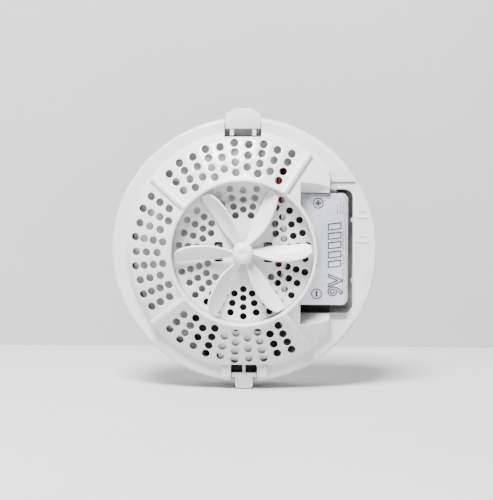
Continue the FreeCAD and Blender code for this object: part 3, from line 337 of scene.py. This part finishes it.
MATERIALS = {
    "white_plastic": white_plastic(),
    "fan_plastic": fan_plastic(),
    "inner_plastic": inner_plastic(),
    "black_plastic": black_plastic(),
    "grey_plastic": grey_plastic(),
    "felt": felt(),
    "foam": foam(),
    "battery_film": battery_film(),
    "battery_steel": metal("can_steel", (0.62, 0.63, 0.66, 1), (0.50, 0.51, 0.54, 1)),
    "nickel": metal("nickel_plate", (0.75, 0.73, 0.68, 1), (0.62, 0.60, 0.56, 1), (0.14, 0.26)),
    "steel": metal("zinc_plate", (0.64, 0.65, 0.67, 1), (0.48, 0.49, 0.51, 1)),
    "brass": metal("dull_brass", (0.78, 0.60, 0.30, 1), (0.60, 0.44, 0.20, 1)),
    "ferrite": ferrite(),
    "screen_wire": woven_wire(),
    "board": circuit_board(),
    "chip_epoxy": chip_epoxy(),
    "capacitor_film": lens("shrink_film", (0.02, 0.03, 0.10, 1), (0.012, 0.02, 0.07, 1)),
    "resistor_coat": resistor_coat(),
    "lens_blue": lens("blue_epoxy", (0.12, 0.18, 0.36, 1), (0.08, 0.13, 0.28, 1)),
    "lens_dark": lens("dark_epoxy", (0.02, 0.015, 0.03, 1), (0.01, 0.008, 0.015, 1)),
    "lens_red": lens("red_epoxy", (0.5, 0.02, 0.02, 1), (0.35, 0.01, 0.01, 1)),
    "clear_plastic": clear_plastic(),
    "red_insulation": insulation("red_pvc", (0.42, 0.012, 0.016, 1), (0.30, 0.008, 0.010, 1)),
    "black_insulation": insulation("black_pvc", (0.014, 0.014, 0.014, 1), (0.008, 0.008, 0.008, 1)),
}


def set_material(piece, material):
    piece.data.materials.clear()
    piece.data.materials.append(material)


def soften(piece, width):
    """Join the mesh's loose corners, round its sharp edges a little and shade it smoothly."""
    for face in piece.data.polygons:
        face.use_smooth = True
    weld = piece.modifiers.new("weld", "WELD")
    weld.merge_threshold = WELD_REACH
    bevel = piece.modifiers.new("edges", "BEVEL")
    bevel.width = width
    bevel.segments = 2
    bevel.limit_method = "ANGLE"
    bevel.angle_limit = math.radians(SHARP_ANGLE)
    bevel.harden_normals = True


def dress_nodes():
    slots = {entry["node"]: entry["material_slot"] for entry in frame["record"]["subparts"]}
    for name, node in NODES.items():
        set_material(node, MATERIALS[slots[name]])
        soften(node, EDGE_WIDTHS.get(name, USUAL_EDGE))


# --- print on the battery ---
def ring_loop(x, z, radius):
    turns = [2 * math.pi * step / RING_STEPS for step in range(RING_STEPS)]
    return [(x + radius * math.cos(turn), z + radius * math.sin(turn)) for turn in turns]


def bar_loop(x0, x1, z0, z1, slant=0.0):
    return [(x0, z0), (x1, z0 + slant), (x1, z1 + slant), (x0, z1)]


def band(outer, inner):
    """Quads that fill the space between two loops of equal length."""
    pairs = list(zip(outer, inner))
    return [[a[0], b[0], b[1], a[1]] for a, b in zip(pairs, pairs[1:] + pairs[:1])]


def battery_piece(name, mesh, material):
    piece = bpy.data.objects.new(name, mesh)
    bpy.context.scene.collection.objects.link(piece)
    set_material(piece, material)
    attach(piece, "battery")


def inked(name, outlines, lift, material):
    """Flat ink shapes, given in millimetres as seen from the front, laid on the label."""
    mesh = bpy.data.meshes.new(name)
    build = bmesh.new()
    for outline in outlines:
        corners = [build.verts.new((x * MM, LABEL_FACE - lift, z * MM)) for x, z in outline]
        build.faces.new(corners)
    bmesh.ops.recalc_face_normals(build, faces=build.faces)
    build.to_mesh(mesh)
    build.free()
    battery_piece(name, mesh, material)


def sign_marks(place):
    """A ring with an upright stroke in it."""
    x, z = place
    ring = band(ring_loop(x, z, RING["outer"]), ring_loop(x, z, RING["inner"]))
    stroke = bar_loop(x - SIGN_STROKE, x + SIGN_STROKE, z - SIGN_ARM, z + SIGN_ARM)
    return ring + [stroke]


def plus_arms():
    """The two short strokes that turn the upright stroke into a plus."""
    x, z = PLUS
    spans = ((x - SIGN_ARM, x - SIGN_STROKE), (x + SIGN_STROKE, x + SIGN_ARM))
    return [bar_loop(left, right, z - SIGN_STROKE, z + SIGN_STROKE) for left, right in spans]


def gauge_marks():
    """The charge gauge: slanted outlined bars, one above the other."""
    marks = []
    for step in range(GAUGE["bars"]):
        low = GAUGE["low"] + step * GAUGE["step"]
        high = low + GAUGE["height"]
        loops = []
        for inset, slant in zip((0, GAUGE_STROKE), GAUGE_SLANTS):
            left, right = GAUGE["left"] + inset, GAUGE["right"] - inset
            loops.append(bar_loop(left, right, low + inset, high - inset, slant))
        marks += band(*loops)
    return marks


def fine_marks():
    """Thin upright lines that stand in for small print."""
    thin = [bar_loop(x, x + FINE_LINE_WIDTH, z, z + length) for x, z, length in FINE_LINES]
    side = [bar_loop(x, x + SIDE_LINE_WIDTH, z, z + length) for x, z, length in SIDE_LINES]
    return side + thin


def upright_text(name, grow, lift, material):
    """Lettering that reads upwards; grow makes its strokes fatter or thinner."""
    curve = bpy.data.curves.new(name, "FONT")
    curve.body = LETTERS["words"]
    curve.size = LETTERS["height"] * MM
    curve.offset = grow * MM
    text = bpy.data.objects.new(name + "_curve", curve)
    bpy.context.scene.collection.objects.link(text)
    mesh = bpy.data.meshes.new_from_object(text)
    bpy.data.objects.remove(text)
    bpy.data.curves.remove(curve)
    for corner in mesh.vertices:
        along, up = corner.co.x, corner.co.y
        corner.co = (LETTERS["foot"] * MM - up, LABEL_FACE - lift, LETTERS["start"] * MM + along)
    battery_piece(name, mesh, material)


def battery_print():
    """Pole marks in rings, a plain 9V in outlined letters, a charge gauge and some fine lines."""
    ink, pale = battery_ink(), battery_ink_pale()
    marks = sign_marks(PLUS) + sign_marks(MINUS) + plus_arms() + gauge_marks() + fine_marks()
    inked("print_marks", marks, INK_LIFT, ink)
    upright_text("print_9v", LETTER_OUTLINE, INK_LIFT, ink)
    upright_text("print_9v_face", LETTER_FACE, 2 * INK_LIFT, pale)


# --- studio ---
def stage_plane(name, corners, light, dark):
    mesh = bpy.data.meshes.new(name)
    mesh.from_pydata(corners, [], [tuple(range(len(corners)))])
    plane = bpy.data.objects.new(name, mesh)
    bpy.context.scene.collection.objects.link(plane)
    paint = Paint(name)
    paint.colour(paint.noise(STAGE_CLOUDS, 2), light, dark)
    paint.rough(paint.noise(STAGE_GLOSS, 2), 0.55, 0.7)
    paint.one_sided()
    set_material(plane, paint.material)


def studio():
    low, reach = CAD_LOW[2] - FLOOR_GAP, STAGE_REACH
    floor = [(-reach, -reach, low), (reach, -reach, low), (reach, reach, low), (-reach, reach, low)]
    wall = [(x, WALL_BACK, z) for x, z in ((-reach, low), (reach, low), (reach, reach), (-reach, reach))]
    stage_plane("pale_floor", floor, (0.50, 0.50, 0.498, 1), (0.54, 0.54, 0.538, 1))
    stage_plane("pale_wall", wall, (0.44, 0.44, 0.44, 1), (0.47, 0.47, 0.47, 1))


def area_light(name, place, size, power):
    light = bpy.data.lights.new(name, "AREA")
    light.shape = "RECTANGLE"
    light.size, light.size_y = size
    light.energy = power
    lamp = bpy.data.objects.new(name, light)
    lamp.location = place
    lamp.rotation_euler = (AIM - Vector(place)).to_track_quat("-Z", "Y").to_euler()
    bpy.context.scene.collection.objects.link(lamp)


def lighting():
    for name, light in LIGHTS.items():
        area_light(name, light["place"], light["size"], light["power"])
    world = bpy.data.worlds.new("studio_air")
    world.use_nodes = True
    background = world.node_tree.nodes["Background"]
    background.inputs["Color"].default_value = AIR_COLOUR
    background.inputs["Strength"].default_value = AIR_STRENGTH
    bpy.context.scene.world = world


def camera():
    side, rise = math.radians(CAMERA_SIDE), math.radians(CAMERA_RISE)
    away = Vector((math.sin(side) * math.cos(rise), -math.cos(side) * math.cos(rise), math.sin(rise)))
    data = bpy.data.cameras.new("camera")
    data.sensor_width = SENSOR
    data.lens = SENSOR * CAMERA_AWAY / VIEW_WIDTH
    eye = bpy.data.objects.new("camera", data)
    eye.location = AIM + away * CAMERA_AWAY
    eye.rotation_euler = (-away).to_track_quat("-Z", "Y").to_euler()
    bpy.context.scene.collection.objects.link(eye)
    bpy.context.scene.camera = eye


dress_nodes()
battery_print()
studio()
lighting()
camera()
